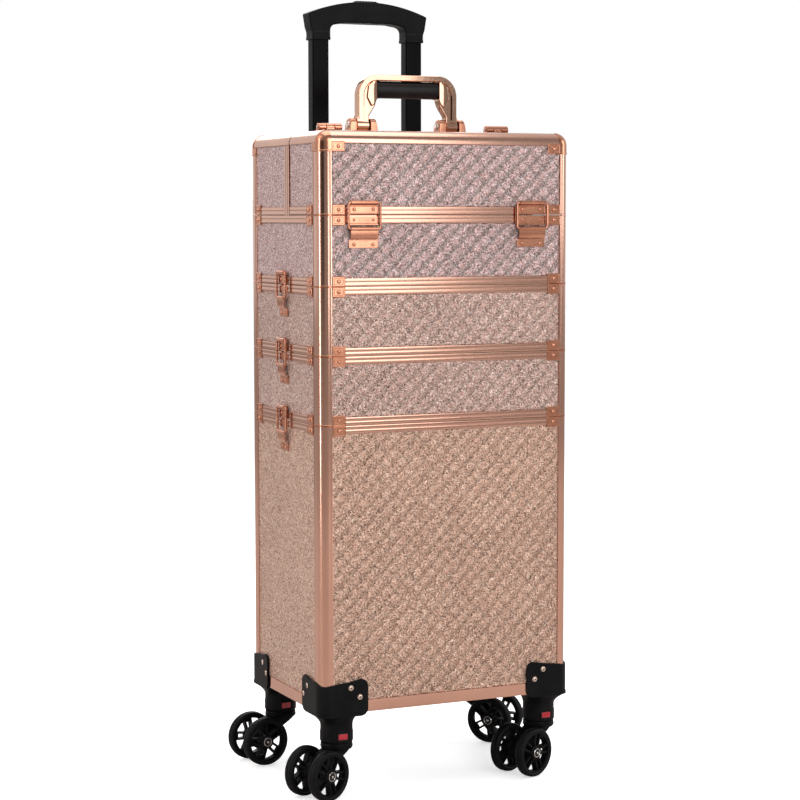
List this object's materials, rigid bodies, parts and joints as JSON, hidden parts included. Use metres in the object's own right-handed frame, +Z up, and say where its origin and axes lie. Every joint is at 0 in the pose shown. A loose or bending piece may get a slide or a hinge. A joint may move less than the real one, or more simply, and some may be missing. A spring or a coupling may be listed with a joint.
{
  "type": "rolling makeup train case",
  "caption": "Tall stacking make-up train case on swivel casters: deep base, lift-off tiers, hinged lid, carry handle and trolley handle.",
  "frame": {"origin": "on the floor, under the middle of the case body", "axes": "+Z up, +X to the right seen from the front, +Y to the back; the front face with the two lid latches looks to -Y"},
  "size_m": [0.4149, 0.2924, 0.992],
  "materials": {
    "glitter_panel": "board with an embossed glitter skin outside and a black lining inside",
    "rose_gold_profile": "satin anodised rose gold",
    "rose_gold_hardware": "bright plated rose gold",
    "polished_rose_gold": "polished plated rose gold",
    "handle_grip": "satin black",
    "screws": "bright plated",
    "red_plastic": "glossy red",
    "black_tube": "satin black coating",
    "wheel_plastic": "satin black",
    "divider_board": "matt black",
    "black_plastic": "fine-grained black"
  },
  "bodies": {
    "base": {"base_panels": "glitter_panel", "base_frame": "rose_gold_profile", "base_fittings": "rose_gold_hardware", "caster_sockets": "black_plastic", "socket_screws": "screws", "trolley_outer_tubes": "black_tube", "trolley_clamps": "black_plastic"},
    "lower_tier": {"lower_tier_panels": "glitter_panel", "lower_tier_frame": "rose_gold_profile", "lower_tier_fittings": "rose_gold_hardware", "lower_tier_dividers": "divider_board"},
    "upper_tier": {"upper_tier_panels": "glitter_panel", "upper_tier_frame": "rose_gold_profile", "upper_tier_fittings": "rose_gold_hardware", "upper_tier_dividers": "divider_board"},
    "top_case": {"top_case_panels": "glitter_panel", "top_case_frame": "rose_gold_profile", "top_case_fittings": "rose_gold_hardware", "hood_hinge_leaves": "rose_gold_hardware", "handle_brackets": "rose_gold_hardware"},
    "lid": {"lid_panels": "glitter_panel", "lid_frame": "rose_gold_profile", "lid_fittings": "rose_gold_hardware"},
    "carry_handle": {"carry_handle_arch": "polished_rose_gold", "carry_handle_grip": "handle_grip"},
    "trolley": {"trolley_inner_tubes": "black_tube", "trolley_grip": "black_plastic"},
    "trolley_button": {"trolley_button": "black_plastic"},
    "release_button_fl": {"release_button_fl": "red_plastic"},
    "swivel_fl": {"caster_fork_fl": "black_plastic"},
    "wheel_fl_inner": {"wheel_fl_inner": "wheel_plastic"},
    "wheel_fl_outer": {"wheel_fl_outer": "wheel_plastic"},
    "release_button_fr": {"release_button_fr": "red_plastic"},
    "swivel_fr": {"caster_fork_fr": "black_plastic"},
    "wheel_fr_inner": {"wheel_fr_inner": "wheel_plastic"},
    "wheel_fr_outer": {"wheel_fr_outer": "wheel_plastic"},
    "release_button_rl": {"release_button_rl": "red_plastic"},
    "swivel_rl": {"caster_fork_rl": "black_plastic"},
    "wheel_rl_inner": {"wheel_rl_inner": "wheel_plastic"},
    "wheel_rl_outer": {"wheel_rl_outer": "wheel_plastic"},
    "release_button_rr": {"release_button_rr": "red_plastic"},
    "swivel_rr": {"caster_fork_rr": "black_plastic"},
    "wheel_rr_inner": {"wheel_rr_inner": "wheel_plastic"},
    "wheel_rr_outer": {"wheel_rr_outer": "wheel_plastic"},
    "bail_front_left": {"bail_front_left": "rose_gold_hardware"},
    "lever_front_left": {"lever_front_left": "rose_gold_hardware"},
    "bail_front_right": {"bail_front_right": "rose_gold_hardware"},
    "lever_front_right": {"lever_front_right": "rose_gold_hardware"},
    "bail_left_low": {"bail_left_low": "rose_gold_hardware"},
    "lever_left_low": {"lever_left_low": "rose_gold_hardware"},
    "bail_left_mid": {"bail_left_mid": "rose_gold_hardware"},
    "lever_left_mid": {"lever_left_mid": "rose_gold_hardware"},
    "bail_left_top": {"bail_left_top": "rose_gold_hardware"},
    "lever_left_top": {"lever_left_top": "rose_gold_hardware"},
    "bail_right_low": {"bail_right_low": "rose_gold_hardware"},
    "lever_right_low": {"lever_right_low": "rose_gold_hardware"},
    "bail_right_mid": {"bail_right_mid": "rose_gold_hardware"},
    "lever_right_mid": {"lever_right_mid": "rose_gold_hardware"},
    "bail_right_top": {"bail_right_top": "rose_gold_hardware"},
    "lever_right_top": {"lever_right_top": "rose_gold_hardware"}
  },
  "joints": [
    {"name": "lower_tier_lift", "type": "slide", "parent": "base", "child": "lower_tier", "axis": [0, 0, 1], "range_m": [0, 0.12]},
    {"name": "upper_tier_lift", "type": "slide", "parent": "lower_tier", "child": "upper_tier", "axis": [0, 0, 1], "range_m": [0, 0.12]},
    {"name": "top_case_lift", "type": "slide", "parent": "upper_tier", "child": "top_case", "axis": [0, 0, 1], "range_m": [0, 0.12]},
    {"name": "lid_hinge", "type": "hinge", "parent": "top_case", "child": "lid", "pos_m": [0, -0.02, 0.821], "axis": [-1, 0, 0], "range_deg": [0, 90]},
    {"name": "carry_handle_pivot", "type": "hinge", "parent": "top_case", "child": "carry_handle", "pos_m": [0, 0.005, 0.825], "axis": [-1, 0, 0], "range_deg": [0, 90]},
    {"name": "trolley_slide", "type": "slide", "parent": "base", "child": "trolley", "axis": [0, 0, 1], "range_m": [-0.21, 0.08]},
    {"name": "trolley_button_press", "type": "slide", "parent": "trolley", "child": "trolley_button", "axis": [0, 0, -1], "range_m": [0, 0.004], "stiffness_N_per_m": 600, "springref_m": -0.001},
    {"name": "release_press_fl", "type": "slide", "parent": "base", "child": "release_button_fl", "axis": [0, 1, 0], "range_m": [0, 0.002], "stiffness_N_per_m": 800},
    {"name": "swivel_turn_fl", "type": "hinge", "parent": "base", "child": "swivel_fl", "pos_m": [-0.141, -0.095, 0.07], "axis": [0, 0, 1], "continuous": true},
    {"name": "wheel_roll_fl_inner", "type": "hinge", "parent": "swivel_fl", "child": "wheel_fl_inner", "pos_m": [-0.16484, -0.12674, 0.031], "axis": [0.3746, -0.9272, 0], "continuous": true},
    {"name": "wheel_roll_fl_outer", "type": "hinge", "parent": "swivel_fl", "child": "wheel_fl_outer", "pos_m": [-0.1802, -0.08873, 0.031], "axis": [0.3746, -0.9272, 0], "continuous": true},
    {"name": "release_press_fr", "type": "slide", "parent": "base", "child": "release_button_fr", "axis": [0, 1, 0], "range_m": [0, 0.002], "stiffness_N_per_m": 800},
    {"name": "swivel_turn_fr", "type": "hinge", "parent": "base", "child": "swivel_fr", "pos_m": [0.141, -0.095, 0.07], "axis": [0, 0, 1], "continuous": true},
    {"name": "wheel_roll_fr_inner", "type": "hinge", "parent": "swivel_fr", "child": "wheel_fr_inner", "pos_m": [0.11715, -0.12674, 0.031], "axis": [0.3746, -0.9272, 0], "continuous": true},
    {"name": "wheel_roll_fr_outer", "type": "hinge", "parent": "swivel_fr", "child": "wheel_fr_outer", "pos_m": [0.1018, -0.08873, 0.031], "axis": [0.3746, -0.9272, 0], "continuous": true},
    {"name": "release_press_rl", "type": "slide", "parent": "base", "child": "release_button_rl", "axis": [0, 1, 0], "range_m": [0, 0.002], "stiffness_N_per_m": 800},
    {"name": "swivel_turn_rl", "type": "hinge", "parent": "base", "child": "swivel_rl", "pos_m": [-0.141, 0.095, 0.07], "axis": [0, 0, 1], "continuous": true},
    {"name": "wheel_roll_rl_inner", "type": "hinge", "parent": "swivel_rl", "child": "wheel_rl_inner", "pos_m": [-0.17182, 0.06997, 0.031], "axis": [0.1392, -0.9903, 0], "continuous": true},
    {"name": "wheel_roll_rl_outer", "type": "hinge", "parent": "swivel_rl", "child": "wheel_rl_outer", "pos_m": [-0.17752, 0.11057, 0.031], "axis": [0.1392, -0.9903, 0], "continuous": true},
    {"name": "release_press_rr", "type": "slide", "parent": "base", "child": "release_button_rr", "axis": [0, 1, 0], "range_m": [0, 0.002], "stiffness_N_per_m": 800},
    {"name": "swivel_turn_rr", "type": "hinge", "parent": "base", "child": "swivel_rr", "pos_m": [0.141, 0.095, 0.07], "axis": [0, 0, 1], "continuous": true},
    {"name": "wheel_roll_rr_inner", "type": "hinge", "parent": "swivel_rr", "child": "wheel_rr_inner", "pos_m": [0.17856, 0.08213, 0.031], "axis": [0.766, 0.6428, 0], "continuous": true},
    {"name": "wheel_roll_rr_outer", "type": "hinge", "parent": "swivel_rr", "child": "wheel_rr_outer", "pos_m": [0.14715, 0.05578, 0.031], "axis": [0.766, 0.6428, 0], "continuous": true},
    {"name": "bail_swing_front_left", "type": "hinge", "parent": "lid", "child": "bail_front_left", "pos_m": [-0.114, -0.124, 0.7272], "axis": [-1, 0, 0], "range_deg": [0, 120]},
    {"name": "lever_flip_front_left", "type": "hinge", "parent": "bail_front_left", "child": "lever_front_left", "pos_m": [-0.114, -0.124, 0.6955], "axis": [-1, 0, 0], "range_deg": [0, 100]},
    {"name": "bail_swing_front_right", "type": "hinge", "parent": "lid", "child": "bail_front_right", "pos_m": [0.114, -0.124, 0.7272], "axis": [-1, 0, 0], "range_deg": [0, 120]},
    {"name": "lever_flip_front_right", "type": "hinge", "parent": "bail_front_right", "child": "lever_front_right", "pos_m": [0.114, -0.124, 0.6955], "axis": [-1, 0, 0], "range_deg": [0, 100]},
    {"name": "bail_swing_left_low", "type": "hinge", "parent": "lower_tier", "child": "bail_left_low", "pos_m": [-0.174, 0, 0.4732], "axis": [0, 1, 0], "range_deg": [0, 120]},
    {"name": "lever_flip_left_low", "type": "hinge", "parent": "bail_left_low", "child": "lever_left_low", "pos_m": [-0.174, 0, 0.4415], "axis": [0, 1, 0], "range_deg": [0, 100]},
    {"name": "bail_swing_left_mid", "type": "hinge", "parent": "upper_tier", "child": "bail_left_mid", "pos_m": [-0.174, 0, 0.5572], "axis": [0, 1, 0], "range_deg": [0, 120]},
    {"name": "lever_flip_left_mid", "type": "hinge", "parent": "bail_left_mid", "child": "lever_left_mid", "pos_m": [-0.174, 0, 0.5255], "axis": [0, 1, 0], "range_deg": [0, 100]},
    {"name": "bail_swing_left_top", "type": "hinge", "parent": "top_case", "child": "bail_left_top", "pos_m": [-0.174, 0, 0.6412], "axis": [0, 1, 0], "range_deg": [0, 120]},
    {"name": "lever_flip_left_top", "type": "hinge", "parent": "bail_left_top", "child": "lever_left_top", "pos_m": [-0.174, 0, 0.6095], "axis": [0, 1, 0], "range_deg": [0, 100]},
    {"name": "bail_swing_right_low", "type": "hinge", "parent": "lower_tier", "child": "bail_right_low", "pos_m": [0.174, 0, 0.4732], "axis": [0, -1, 0], "range_deg": [0, 120]},
    {"name": "lever_flip_right_low", "type": "hinge", "parent": "bail_right_low", "child": "lever_right_low", "pos_m": [0.174, 0, 0.4415], "axis": [0, -1, 0], "range_deg": [0, 100]},
    {"name": "bail_swing_right_mid", "type": "hinge", "parent": "upper_tier", "child": "bail_right_mid", "pos_m": [0.174, 0, 0.5572], "axis": [0, -1, 0], "range_deg": [0, 120]},
    {"name": "lever_flip_right_mid", "type": "hinge", "parent": "bail_right_mid", "child": "lever_right_mid", "pos_m": [0.174, 0, 0.5255], "axis": [0, -1, 0], "range_deg": [0, 100]},
    {"name": "bail_swing_right_top", "type": "hinge", "parent": "top_case", "child": "bail_right_top", "pos_m": [0.174, 0, 0.6412], "axis": [0, -1, 0], "range_deg": [0, 120]},
    {"name": "lever_flip_right_top", "type": "hinge", "parent": "bail_right_top", "child": "lever_right_top", "pos_m": [0.174, 0, 0.6095], "axis": [0, -1, 0], "range_deg": [0, 100]}
  ]
}
